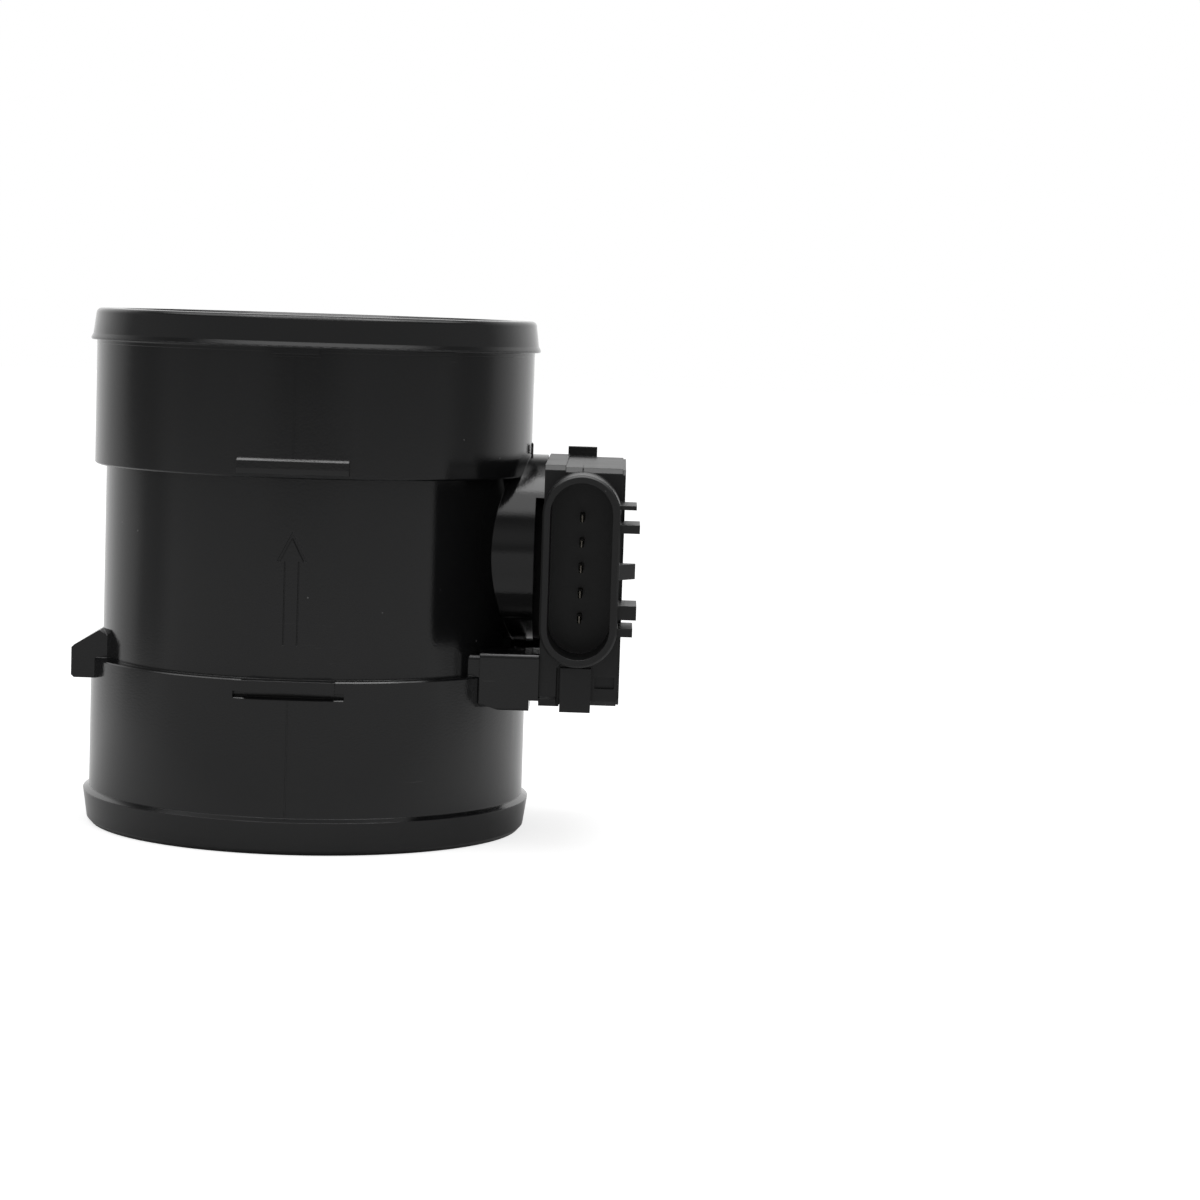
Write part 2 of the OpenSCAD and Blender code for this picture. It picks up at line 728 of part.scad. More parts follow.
// Shroud of the connector, its guide ribs and the lock ramp
module connector_outside() {
    along_y(shroud_y + shroud_edge_cut, module_front_y + merge)
        translate([shroud_x, shroud_zc]) obround(shroud_w, shroud_h);
    shroud_lip();
    side_x = shroud_x + shroud_w / 2;
    for (i = [0 : len(guide_t) - 1])
        translate([side_x - merge, shroud_y + guide_setback, shroud_zc + guide_rise[i] - guide_t[i] / 2])
            cube([guide_reach[i] + merge, shroud_len - guide_setback + merge, guide_t[i]]);
    translate([0, 0, shroud_zc - ramp_t / 2]) linear_extrude(ramp_t)
        polygon([[side_x - merge, shroud_y + guide_setback], [side_x, shroud_y + guide_setback],
            [side_x + ramp_reach, shroud_y + ramp_len],
            [side_x + ramp_reach, shroud_y + ramp_len + ramp_back],
            [side_x - merge, shroud_y + ramp_len + ramp_back]]);
}

// Strap under the connector, the catch at the back and the bead along the base's lower edge
module straps() {
    bead_y = module_front_y - base_over;
    bead_z = module_low_z - base_over;
    translate([strap_x, module_front_y - strap_t, module_low_z - strap_t])
        cube([strap_w, strap_t + merge, strap_high_z - module_low_z + strap_t]);
    translate([strap_x, module_front_y - strap_t, module_low_z - strap_t])
        cube([strap_w, strap_foot, strap_t + merge]);
    translate([catch_x, -module_front_y - merge, module_high_z + catch_h - catch_len])
        cube([strap_w, strap_t + merge, catch_len]);
    along_x(base_x, body_x)
        polygon([[bead_y + merge, bead_z + module_edge_cut], [bead_y, bead_z + module_edge_cut],
            [bead_y - base_bead_out, bead_z + module_edge_cut],
            [bead_y - base_bead_out, bead_z + module_edge_cut + base_bead_h],
            [bead_y, bead_z + module_edge_cut + base_bead_h + base_bead_out],
            [bead_y + merge, bead_z + module_edge_cut + base_bead_h + base_bead_out]]);
}

// One circle round each module screw
module well_circles(r) {
    for (spot = screw_spots) translate(spot) circle(r);
}

module module_housing() {
    color("#202124") difference() {
        union() {
            difference() {
                union() {
                    along_x(base_x, body_x) module_outline(base_over);
                    along_x(body_x, top_x - top_edge_cut) module_outline(0);
                    along_x(top_x - top_edge_cut, top_x) module_outline(-top_edge_cut / 2);
                    connector_outside();
                    straps();
                }
                along_x(floor_x, top_x + eps) translate([0, module_zc])
                    round_rect(tray_in_w, tray_in_h, tray_corner_r);
                along_x(ledge_x, top_x + eps) translate([0, module_zc])
                    round_rect(tray_in_w + 2 * ledge_w, tray_in_h + 2 * ledge_w, cover_corner_r);
                along_y(shroud_y - eps, module_front_y)
                    translate([shroud_x, shroud_zc])
                        obround(shroud_w - 2 * shroud_wall, shroud_h - 2 * shroud_wall);
            }
            along_x(floor_x - merge, top_x - cover_inset) well_circles(well_wall_r);
            along_x(floor_x - merge, ledge_x) intersection() {
                module_outline(0);
                well_circles(well_wall_r + ledge_w);
            }
            for (y = [-1, 1], z = [board_low_z + standoff_inset, board_high_z - standoff_inset])
                along_x(floor_x - merge, board_x)
                    translate([y * standoff_y, z]) circle(standoff_r);
        }
        along_x(well_floor_x, top_x + eps) well_circles(well_r);
        along_x(base_x - eps, well_floor_x + eps) well_circles(screw_hole_r);
        along_x(base_x - eps, floor_x + eps)
            translate([0, sensor_z - post_window_drop]) round_rect(post_window_w, post_window_h, 1);
        terminal_slots();
        front_details();
    }
}

// Slots for the terminals through the wall at the bottom of the shroud
module terminal_slots() {
    for (i = [-2 : 2])
        translate([pin_x - pin_t / 2 - snug, module_front_y - eps,
            shroud_zc + i * pin_pitch - pin_w / 2 - snug])
            cube([pin_t + 2 * snug, tray_wall + ledge_w + 2 * eps, pin_w + 2 * snug]);
}

// Groove beside the strap and the small recess in the lower corner
module front_details() {
    groove_low_z = module_low_z - base_over - eps;
    translate([body_x - groove_w, module_front_y - base_over - eps, groove_low_z])
        cube([groove_w, base_over + groove_deep + eps, strap_high_z - groove_low_z]);
    translate([strap_x + strap_w + recess_gap, module_front_y - eps, module_low_z + recess_rise])
        cube([recess_w, recess_deep + eps, recess_h]);
}

module module_cover() {
    color("#1b1c1e") along_x(cover_x, cover_x + cover_t) difference() {
        cover_outline();
        well_circles(well_wall_r + fit);
    }
}

// Outline of the cover before it is cut round the screw wells
module cover_outline() {
    translate([0, module_zc])
        round_rect(tray_in_w + 2 * ledge_w - 2 * fit, tray_in_h + 2 * ledge_w - 2 * fit, cover_corner_r);
}

module cover_sealant() {
    color("#2f3133") along_x(ledge_x, cover_x) difference() {
        cover_outline();
        difference() {
            translate([0, module_zc])
                round_rect(tray_in_w + 2 * fit, tray_in_h + 2 * fit, tray_corner_r);
            well_circles(well_wall_r + ledge_w - fit);
        }
        well_circles(well_wall_r + fit);
    }
}

module circuit_board() {
    mid_z = (board_low_z + board_high_z) / 2;
    color("#2f5d3a") difference() {
        along_x(board_x, board_top_x)
            translate([0, mid_z]) round_rect(board_w, board_high_z - board_low_z, board_corner_r);
        along_x(board_x - eps, board_top_x + eps) well_circles(well_wall_r + ledge_w + 2 * fit);
        lead_shapes(snug);
        for (i = [-2 : 2]) terminal_shape(i, snug);
    }
}

module heat_spreader() {
    color("#c3c6c9") translate([floor_x, spreader_y, spreader_low_z])
        cube([board_standoff, spreader_w, spreader_h]);
}

module driver_chip() {
    color("#151617") translate([board_top_x, chip_y, board_high_z - chip_drop]) cube(chip_size);
}

// Power transistor with its tab soldered down beside it
module power_transistor() {
    color("#18191a") translate([board_top_x, transistor_y, sensor_z - transistor_drop]) {
        cube(transistor_size);
        translate([0, (transistor_size[1] - tab_size[1]) / 2, transistor_size[2]]) cube(tab_size);
    }
}

module filter_capacitors() {
    color("#b59a6a")
        for (i = [0 : 2])
            translate([board_top_x, capacitor_y + i * capacitor_pitch, board_high_z - capacitor_drop])
                cube(capacitor_size);
}

module resistors() {
    color("#1d1d1f")
        for (i = [0 : 5])
            translate([board_top_x, resistor_y + i * resistor_pitch, sensor_z - resistor_drop])
                cube(resistor_size);
}

// Blade with a pointed tip that turns down through the board
module terminal_shape(i, grow) {
    tip_y = module_front_y - pin_len;
    low_x = pin_x - pin_t / 2 - grow;
    high_x = pin_x + pin_t / 2 + grow;
    leg_y = pin_leg_y + pin_t + grow;
    translate([0, 0, shroud_zc + i * pin_pitch - pin_w / 2 - grow]) linear_extrude(pin_w + 2 * grow)
        polygon([[low_x + pin_point_w, tip_y], [high_x - pin_point_w, tip_y], [high_x, tip_y + pin_point],
            [high_x, leg_y], [board_x - pin_foot, leg_y], [board_x - pin_foot, pin_leg_y - grow],
            [low_x, pin_leg_y - grow], [low_x, tip_y + pin_point]]);
}

module terminal(i) {
    color("#c9b27a") terminal_shape(i, 0);
}

module module_screws() {
    shank_x = flange_x - pilot_deep + pilot_spare;
    color("#8f9296")
        for (spot = screw_spots) translate([0, spot[0], spot[1]]) rotate([0, 90, 0]) difference() {
            union() {
                translate([0, 0, shank_x]) cylinder(r = screw_r, h = well_floor_x - shank_x + eps, $fn = 32);
                translate([0, 0, well_floor_x]) cylinder(r = screw_head_r, h = screw_head_h, $fn = 48);
            }
            translate([0, 0, well_floor_x + screw_head_h - screw_recess_deep])
                cylinder(r = screw_recess_r, h = screw_recess_deep + eps, $fn = 6);
        }
}

flow_tube();
inlet_screen();
screen_rim();
screen_ring();
sampling_bridge();
sensor_leads();
heated_element();
reference_element();
air_thermistor();
pedestal_gasket();
module_housing();
module_cover();
cover_sealant();
circuit_board();
heat_spreader();
driver_chip();
power_transistor();
filter_capacitors();
resistors();
terminal(-2);  // terminal_1
terminal(-1);  // terminal_2
terminal(0);  // terminal_3
terminal(1);  // terminal_4
terminal(2);  // terminal_5
module_screws();
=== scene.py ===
from math import cos, pi, radians, sin, sqrt

import bpy
import bmesh
from mathutils import Matrix, Vector


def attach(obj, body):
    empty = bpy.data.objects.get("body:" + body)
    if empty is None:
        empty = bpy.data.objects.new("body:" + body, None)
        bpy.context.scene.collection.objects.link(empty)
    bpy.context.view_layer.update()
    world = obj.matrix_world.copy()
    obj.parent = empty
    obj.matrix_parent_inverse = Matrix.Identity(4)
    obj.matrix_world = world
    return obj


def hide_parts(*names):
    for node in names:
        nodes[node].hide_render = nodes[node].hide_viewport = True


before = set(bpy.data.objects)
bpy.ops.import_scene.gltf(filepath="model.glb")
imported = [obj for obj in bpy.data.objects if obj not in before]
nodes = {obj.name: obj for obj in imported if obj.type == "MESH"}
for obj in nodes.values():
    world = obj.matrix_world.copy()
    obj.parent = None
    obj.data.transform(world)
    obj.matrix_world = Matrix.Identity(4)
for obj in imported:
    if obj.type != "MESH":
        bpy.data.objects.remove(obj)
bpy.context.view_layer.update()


# Flow tube
# One moulding in black glass-filled nylon: two barbed spigots, a waist and the pedestal.
# The mould's two halves leave a fine seam, and handling leaves faint scuffs and dust.

MM = 0.001


def add_node(tree, kind, x=0, y=0, **values):
    """A shader node with its inputs and settings filled in."""
    node = tree.nodes.new(kind)
    node.location = (x, y)
    for key, value in values.items():
        if key in node.inputs:
            node.inputs[key].default_value = value
        else:
            setattr(node, key, value)
    return node


def make_group(name, inputs, outputs):
    """An empty shader node group with named sockets, and its two end nodes."""
    group = bpy.data.node_groups.new(name, "ShaderNodeTree")
    for label, kind, value in inputs:
        socket = group.interface.new_socket(name=label, in_out="INPUT", socket_type=kind)
        socket.default_value = value
    for label, kind in outputs:
        group.interface.new_socket(name=label, in_out="OUTPUT", socket_type=kind)
    start = add_node(group, "NodeGroupInput", -1400, 0)
    end = add_node(group, "NodeGroupOutput", 900, 0)
    return group, start, end


def build_moulded_skin():
    """Cloudy colour, fine grain, flow streaks, scuffs and dust of a black moulding."""
    colour, value = "NodeSocketColor", "NodeSocketFloat"
    group, start, end = make_group(
        "moulded_skin",
        [("Colour", colour, (0.01, 0.01, 0.01, 1)), ("Dust Colour", colour, (0.2, 0.2, 0.2, 1)),
         ("Roughness", value, 0.3), ("Cloud", value, 0.3), ("Streak", value, 0.1),
         ("Scuff", value, 0.2), ("Dust", value, 0.3), ("Grain Scale", value, 2200.0)],
        [("Colour", colour), ("Roughness", value), ("Height", value)])
    link = group.links.new
    place = add_node(group, "ShaderNodeTexCoord", -1400, 400).outputs["Object"]

    cloud = add_node(group, "ShaderNodeTexNoise", -1000, 500, Scale=70.0, Detail=4.0,
                     Roughness=0.6)
    link(place, cloud.inputs["Vector"])
    cloud_even = add_node(group, "ShaderNodeMath", -800, 500, operation="SUBTRACT")
    cloud_even.inputs[1].default_value = 0.5
    link(cloud.outputs["Fac"], cloud_even.inputs[0])
    cloud_part = add_node(group, "ShaderNodeMath", -600, 500, operation="MULTIPLY_ADD")
    cloud_part.inputs[2].default_value = 1.0
    link(cloud_even.outputs[0], cloud_part.inputs[0])
    link(start.outputs["Cloud"], cloud_part.inputs[1])
    tinted = add_node(group, "ShaderNodeVectorMath", -400, 500, operation="SCALE")
    link(start.outputs["Colour"], tinted.inputs[0])
    link(cloud_part.outputs[0], tinted.inputs["Scale"])

    flow_map = add_node(group, "ShaderNodeMapping", -1200, 150, Scale=(1.0, 1.0, 0.12))
    link(place, flow_map.inputs["Vector"])
    flow = add_node(group, "ShaderNodeTexNoise", -1000, 150, Scale=160.0, Detail=3.0,
                    Roughness=0.55)
    link(flow_map.outputs[0], flow.inputs["Vector"])
    flow_even = add_node(group, "ShaderNodeMath", -800, 150, operation="SUBTRACT")
    flow_even.inputs[1].default_value = 0.5
    link(flow.outputs["Fac"], flow_even.inputs[0])
    flow_part = add_node(group, "ShaderNodeMath", -600, 150, operation="MULTIPLY")
    link(flow_even.outputs[0], flow_part.inputs[0])
    link(start.outputs["Streak"], flow_part.inputs[1])

    scuff_map = add_node(group, "ShaderNodeMapping", -1200, -150,
                         Scale=(1.0, 1.0, 14.0), Rotation=(0.5, 0.35, 0.2))
    link(place, scuff_map.inputs["Vector"])
    scuff = add_node(group, "ShaderNodeTexNoise", -1000, -150, Scale=55.0, Detail=7.0,
                     Roughness=0.7)
    link(scuff_map.outputs[0], scuff.inputs["Vector"])
    patch = add_node(group, "ShaderNodeTexNoise", -1000, -350, Scale=38.0, Detail=2.0)
    link(place, patch.inputs["Vector"])
    scuff_line = add_node(group, "ShaderNodeMapRange", -800, -150)
    scuff_line.inputs["From Min"].default_value = 0.63
    scuff_line.inputs["From Max"].default_value = 0.72
    link(scuff.outputs["Fac"], scuff_line.inputs["Value"])
    patch_mask = add_node(group, "ShaderNodeMapRange", -800, -350)
    patch_mask.inputs["From Min"].default_value = 0.5
    patch_mask.inputs["From Max"].default_value = 0.7
    link(patch.outputs["Fac"], patch_mask.inputs["Value"])
    scuff_mask = add_node(group, "ShaderNodeMath", -600, -200, operation="MULTIPLY")
    link(scuff_line.outputs[0], scuff_mask.inputs[0])
    link(patch_mask.outputs[0], scuff_mask.inputs[1])
    scuff_part = add_node(group, "ShaderNodeMath", -400, -200, operation="MULTIPLY")
    link(scuff_mask.outputs[0], scuff_part.inputs[0])
    link(start.outputs["Scuff"], scuff_part.inputs[1])

    specks = add_node(group, "ShaderNodeTexVoronoi", -1000, -600, Scale=260.0)
    link(place, specks.inputs["Vector"])
    speck_near = add_node(group, "ShaderNodeMath", -800, -550, operation="LESS_THAN")
    speck_near.inputs[1].default_value = 0.05
    link(specks.outputs["Distance"], speck_near.inputs[0])
    speck_tone = add_node(group, "ShaderNodeSeparateColor", -800, -700)
    link(specks.outputs["Color"], speck_tone.inputs[0])
    speck_some = add_node(group, "ShaderNodeMath", -600, -700, operation="GREATER_THAN")
    speck_some.inputs[1].default_value = 0.9
    link(speck_tone.outputs[0], speck_some.inputs[0])
    speck_mask = add_node(group, "ShaderNodeMath", -400, -600, operation="MULTIPLY")
    link(speck_near.outputs[0], speck_mask.inputs[0])
    link(speck_some.outputs[0], speck_mask.inputs[1])
    speck_part = add_node(group, "ShaderNodeMath", -200, -600, operation="MULTIPLY")
    link(speck_mask.outputs[0], speck_part.inputs[0])
    link(start.outputs["Dust"], speck_part.inputs[1])

    marks = add_node(group, "ShaderNodeMath", 0, -300, operation="ADD", use_clamp=True)
    link(scuff_part.outputs[0], marks.inputs[0])
    link(speck_part.outputs[0], marks.inputs[1])
    dusted = add_node(group, "ShaderNodeMix", 300, 300, data_type="RGBA")
    link(marks.outputs[0], dusted.inputs[0])
    link(tinted.outputs[0], dusted.inputs[6])
    link(start.outputs["Dust Colour"], dusted.inputs[7])
    link(dusted.outputs[2], end.inputs["Colour"])

    rough_flow = add_node(group, "ShaderNodeMath", 100, 0, operation="ADD")
    link(start.outputs["Roughness"], rough_flow.inputs[0])
    link(flow_part.outputs[0], rough_flow.inputs[1])
    rough_all = add_node(group, "ShaderNodeMath", 300, 0, operation="MULTIPLY_ADD", use_clamp=True)
    rough_all.inputs[1].default_value = 0.35
    link(marks.outputs[0], rough_all.inputs[0])
    link(rough_flow.outputs[0], rough_all.inputs[2])
    link(rough_all.outputs[0], end.inputs["Roughness"])

    grain = add_node(group, "ShaderNodeTexNoise", -200, -900, Detail=3.0, Roughness=0.6)
    link(place, grain.inputs["Vector"])
    link(start.outputs["Grain Scale"], grain.inputs["Scale"])
    height = add_node(group, "ShaderNodeMath", 300, -500, operation="ADD")
    link(grain.outputs["Fac"], height.inputs[0])
    link(speck_part.outputs[0], height.inputs[1])
    link(height.outputs[0], end.inputs["Height"])
    return group


moulded_skin = build_moulded_skin()


def join_skin(material, skin, edge, strength, depth):
    """Feeds a skin group into its shader, with corner radius edge and relief depth in mm."""
    tree = material.node_tree
    link = tree.links.new
    shader = tree.nodes["Principled BSDF"]
    soft_edge = add_node(tree, "ShaderNodeBevel", -500, -300, Radius=edge * MM)
    bump = add_node(tree, "ShaderNodeBump", -250, -150, Strength=strength, Distance=depth * MM)
    link(skin.outputs["Colour"], shader.inputs["Base Color"])
    link(skin.outputs["Roughness"], shader.inputs["Roughness"])
    link(skin.outputs["Height"], bump.inputs["Height"])
    link(soft_edge.outputs[0], bump.inputs["Normal"])
    link(bump.outputs[0], shader.inputs["Normal"])


def moulded_plastic(name, colour, roughness, cloud=0.35, streak=0.08, scuff=0.12, dust=0.25,
                    grain_scale=2200.0, grain=0.25, edge=0.25, dust_colour=(0.12, 0.12, 0.12, 1)):
    """A black moulding's material; edge is the radius in mm that its corners seem rounded to."""
    material = bpy.data.materials.new(name)
    material.use_nodes = True
    skin = add_node(material.node_tree, "ShaderNodeGroup", -700, 100)
    skin.node_tree = moulded_skin
    for label, value in (("Colour", (*colour, 1)), ("Dust Colour", dust_colour),
                         ("Roughness", roughness), ("Cloud", cloud), ("Streak", streak),
                         ("Scuff", scuff), ("Dust", dust), ("Grain Scale", grain_scale)):
        skin.inputs[label].default_value = value
    join_skin(material, skin, edge, grain, 0.06)
    return material


def dress(node_name, material):
    """Gives a CAD node a better material."""
    mesh = nodes[node_name].data
    mesh.materials.clear()
    mesh.materials.append(material)


tube_black = (0.0066, 0.0067, 0.007)
tube_moulding = moulded_plastic("tube_moulding", tube_black, 0.12, scuff=0.3, dust=0.8)
dress("flow_tube", tube_moulding)


def mesh_piece(name, vertices, faces, material, smooth=True, replaced=()):
    """A new piece in millimetres that rides on the sensor."""
    mesh = bpy.data.meshes.new(name)
    mesh.from_pydata([Vector(v) * MM for v in vertices], [], faces)
    mesh.validate()
    mesh.materials.append(material)
    mesh.polygons.foreach_set("use_smooth", [smooth] * len(mesh.polygons))
    cleaner = bmesh.new()
    cleaner.from_mesh(mesh)
    bmesh.ops.recalc_face_normals(cleaner, faces=cleaner.faces)
    cleaner.to_mesh(mesh)
    cleaner.free()
    piece = bpy.data.objects.new(name, mesh)
    bpy.context.scene.collection.objects.link(piece)
    if replaced:
        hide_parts(*replaced)
    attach(piece, "root")
    return piece


spigot_r = 48.2
seam_half = 0.16
seam_rise = 0.09
seam_sink = 0.15
front, back = -1, 1
seam_runs = [(front, 8.3, 32.5), (front, 83.4, 104.4), (back, 8.3, 36.2), (back, 79.6, 105.3)]


def parting_seam():
    """A low rounded ridge on each spigot where the mould's halves met."""
    vertices, faces = [], []
    section = [(-seam_half, -seam_sink), (-seam_half, 0.0), (-seam_half / 2, seam_rise),
               (seam_half / 2, seam_rise), (seam_half, 0.0), (seam_half, -seam_sink)]
    for side, low, high in seam_runs:
        first = len(vertices)
        for z in (low, high):
            vertices += [(x, side * (spigot_r + out), z) for x, out in section]
        count = len(section)
        for i in range(count):
            j = (i + 1) % count
            faces.append((first + i, first + j, first + count + j, first + count + i))
        faces.append(tuple(first + i for i in range(count)))
        faces.append(tuple(first + count + i for i in reversed(range(count))))
    return mesh_piece("tube_parting_seam", vertices, faces, tube_moulding,
                      smooth=False)


parting_seam()

root_r = 47.9
barb_root = [(root_r, 105.3), (48.24, 105.3), (48.24, 106.1), (49.25, 106.13), (49.42, 106.2),
             (49.48, 106.34), (49.49, 106.59), (48.6, 106.59), (root_r, 106.1)]
tab_root = [(root_r, 104.35), (48.22, 104.35), (48.22, 105.0), (root_r, 105.0)]
tab_root_sweep = radians(12.6)


def turned_piece(name, profile, middle, sweep, steps):
    """Radius and height points turned about the bore's axis, closed or with two flat ends."""
    closed = sweep >= 2 * pi
    count = len(profile)
    vertices, faces = [], []
    for k in range(steps if closed else steps + 1):
        turn = middle + sweep * (k / steps - 0.5)
        vertices += [(r * cos(turn), r * sin(turn), z) for r, z in profile]
    for k in range(steps):
        a, b = k * count, (k + 1) % steps * count if closed else (k + 1) * count
        for i in range(count):
            j = (i + 1) % count
            faces.append((a + i, b + i, b + j, a + j))
    if not closed:
        faces.append(tuple(range(count)))
        faces.append(tuple(reversed(range(steps * count, steps * count + count))))
    return mesh_piece(name, vertices, faces, tube_moulding, smooth=False)


turned_piece("tube_outlet_barb_root", barb_root, 0.0, 2 * pi, 256)
turned_piece("tube_lip_tab_root", tab_root, -pi / 2, tab_root_sweep, 24)


# Inlet screen, its rim and the spring ring
# A plain weave of fine stainless wire, moulded into a black rim, so that dirt stays out.
# The split ring of spring steel snaps into the groove below the rim.

def build_metal_skin():
    """Brushed or drawn metal: brightness and roughness that vary along the surface."""
    colour, value = "NodeSocketColor", "NodeSocketFloat"
    group, start, end = make_group(
        "metal_skin",
        [("Colour", colour, (0.5, 0.5, 0.5, 1)), ("Tarnish Colour", colour, (0.2, 0.18, 0.15, 1)),
         ("Roughness", value, 0.3), ("Tarnish", value, 0.3), ("Scale", value, 400.0)],
        [("Colour", colour), ("Roughness", value), ("Height", value)])
    link = group.links.new
    place = add_node(group, "ShaderNodeTexCoord", -1400, 400).outputs["Object"]
    broad = add_node(group, "ShaderNodeTexNoise", -1000, 300, Detail=5.0, Roughness=0.65)
    link(place, broad.inputs["Vector"])
    link(start.outputs["Scale"], broad.inputs["Scale"])
    tarnish = add_node(group, "ShaderNodeMapRange", -800, 300)
    tarnish.inputs["From Min"].default_value = 0.45
    tarnish.inputs["From Max"].default_value = 0.75
    link(broad.outputs["Fac"], tarnish.inputs["Value"])
    link(start.outputs["Tarnish"], tarnish.inputs["To Max"])
    tinted = add_node(group, "ShaderNodeMix", -300, 300, data_type="RGBA")
    link(tarnish.outputs[0], tinted.inputs[0])
    link(start.outputs["Colour"], tinted.inputs[6])
    link(start.outputs["Tarnish Colour"], tinted.inputs[7])
    link(tinted.outputs[2], end.inputs["Colour"])
    rough = add_node(group, "ShaderNodeMath", 0, 0, operation="MULTIPLY_ADD", use_clamp=True)
    rough.inputs[1].default_value = 0.4
    link(tarnish.outputs[0], rough.inputs[0])
    link(start.outputs["Roughness"], rough.inputs[2])
    link(rough.outputs[0], end.inputs["Roughness"])
    fine = add_node(group, "ShaderNodeTexNoise", -600, -300, Scale=3500.0, Detail=2.0)
    link(place, fine.inputs["Vector"])
    link(fine.outputs["Fac"], end.inputs["Height"])
    return group


metal_skin = build_metal_skin()


def bare_metal(name, colour, roughness, tarnish=0.3, scale=400.0, edge=0.08,
               tarnish_colour=(0.2, 0.18, 0.15, 1)):
    """A metal's material with soft edges and slight tarnish."""
    material = bpy.data.materials.new(name)
    material.use_nodes = True
    material.node_tree.nodes["Principled BSDF"].inputs["Metallic"].default_value = 1.0
    skin = add_node(material.node_tree, "ShaderNodeGroup", -700, 100)
    skin.node_tree = metal_skin
    for label, value in (("Colour", (*colour, 1)), ("Tarnish Colour", tarnish_colour),
                         ("Roughness", roughness), ("Tarnish", tarnish), ("Scale", scale)):
        skin.inputs[label].default_value = value
    join_skin(material, skin, edge, 0.15, 0.03)
    return material


def tube_along(path, radius, sides, closed=False):
    """Vertices and faces of a round wire that follows a path of points."""
    vertices, faces = [], []
    count = len(path)
    side_axis = None
    for i, point in enumerate(path):
        ahead = path[(i + 1) % count] if closed or i + 1 < count else point
        behind = path[i - 1] if closed or i > 0 else point
        along = (Vector(ahead) - Vector(behind)).normalized()
        if side_axis is None:
            side_axis = along.orthogonal().normalized()
        side_axis = (side_axis - along * side_axis.dot(along)).normalized()
        other = along.cross(side_axis)
        for k in range(sides):
            turn = 2 * pi * k / sides
            vertices.append(Vector(point) + (side_axis * cos(turn) + other * sin(turn)) * radius)
    for i in range(count if closed else count - 1):
        for k in range(sides):
            a, b = i * sides, ((i + 1) % count) * sides
            faces.append((a + k, a + (k + 1) % sides, b + (k + 1) % sides, b + k))
    if not closed:
        faces.append(tuple(reversed(range(sides))))
        faces.append(tuple((count - 1) * sides + k for k in range(sides)))
    return vertices, faces


screen_wire = bare_metal("screen_wire", (0.42, 0.43, 0.45), 0.32, tarnish=0.4, edge=0.02)
mesh_pitch = 1.7
wire_r = 0.14
weave_z = 6.025
weave_r = 43.05
wires_each_way = int(weave_r / mesh_pitch)


def woven_screen():
    """Wires along X and Y that pass over and under each other."""
    vertices, faces = [], []
    for way in (0, 1):
        for k in range(-wires_each_way, wires_each_way + 1):
            offset = k * mesh_pitch
            half = sqrt(weave_r ** 2 - offset ** 2)
            steps = int(half / (mesh_pitch / 2))
            stations = [-half] + [s * mesh_pitch / 2 for s in range(-steps, steps + 1)] + [half]
            path = []
            for s in stations:
                phase = 1 if (k + way) % 2 else -1
                z = weave_z + phase * wire_r * cos(pi * s / mesh_pitch)
                path.append((s, offset, z) if way == 0 else (offset, s, z))
            if len(path) < 4:
                continue
            part, part_faces = tube_along(path, wire_r, 5)
            first = len(vertices)
            vertices += part
            faces += [tuple(first + i for i in face) for face in part_faces]
    return mesh_piece("woven_inlet_screen", vertices, faces, screen_wire,
                      replaced=("inlet_screen",))


woven_screen()
dress("screen_rim", moulded_plastic("rim_moulding", (0.009, 0.009, 0.0095), 0.35, edge=0.2))
dress("screen_ring", bare_metal("spring_ring_steel", (0.5, 0.5, 0.52), 0.28, tarnish=0.35,
                                edge=0.1))


# Sampling bridge with its elements
# A streamlined strut across the throat carries the sampling tube, moulded in one piece.
# Bare metal posts run through it to the circuit board and hold the wound elements.

dress("sampling_bridge", moulded_plastic("bridge_moulding", (0.009, 0.0092, 0.0098), 0.36,
                                         edge=0.3))
dress("sensor_leads", bare_metal("post_metal", (0.62, 0.59, 0.52), 0.3, tarnish=0.25, edge=0.05))


def build_ceramic_skin():
    """Glassy or glazed body with faint mottling."""
    colour, value = "NodeSocketColor", "NodeSocketFloat"
    group, start, end = make_group(
        "ceramic_skin",
        [("Colour", colour, (0.6, 0.6, 0.6, 1)), ("Mottle Colour", colour, (0.4, 0.4, 0.4, 1)),
         ("Roughness", value, 0.3), ("Scale", value, 900.0)],
        [("Colour", colour), ("Roughness", value), ("Height", value)])
    link = group.links.new
    place = add_node(group, "ShaderNodeTexCoord", -1400, 400).outputs["Object"]
    mottle = add_node(group, "ShaderNodeTexNoise", -1000, 300, Detail=4.0)
    link(place, mottle.inputs["Vector"])
    link(start.outputs["Scale"], mottle.inputs["Scale"])
    tinted = add_node(group, "ShaderNodeMix", -300, 300, data_type="RGBA")
    link(mottle.outputs["Fac"], tinted.inputs[0])
    link(start.outputs["Colour"], tinted.inputs[6])
    link(start.outputs["Mottle Colour"], tinted.inputs[7])
    link(tinted.outputs[2], end.inputs["Colour"])
    rough = add_node(group, "ShaderNodeMath", 0, 0, operation="MULTIPLY_ADD", use_clamp=True)
    rough.inputs[1].default_value = 0.15
    link(mottle.outputs["Fac"], rough.inputs[0])
    link(start.outputs["Roughness"], rough.inputs[2])
    link(rough.outputs[0], end.inputs["Roughness"])
    link(mottle.outputs["Fac"], end.inputs["Height"])
    return group


ceramic_skin = build_ceramic_skin()


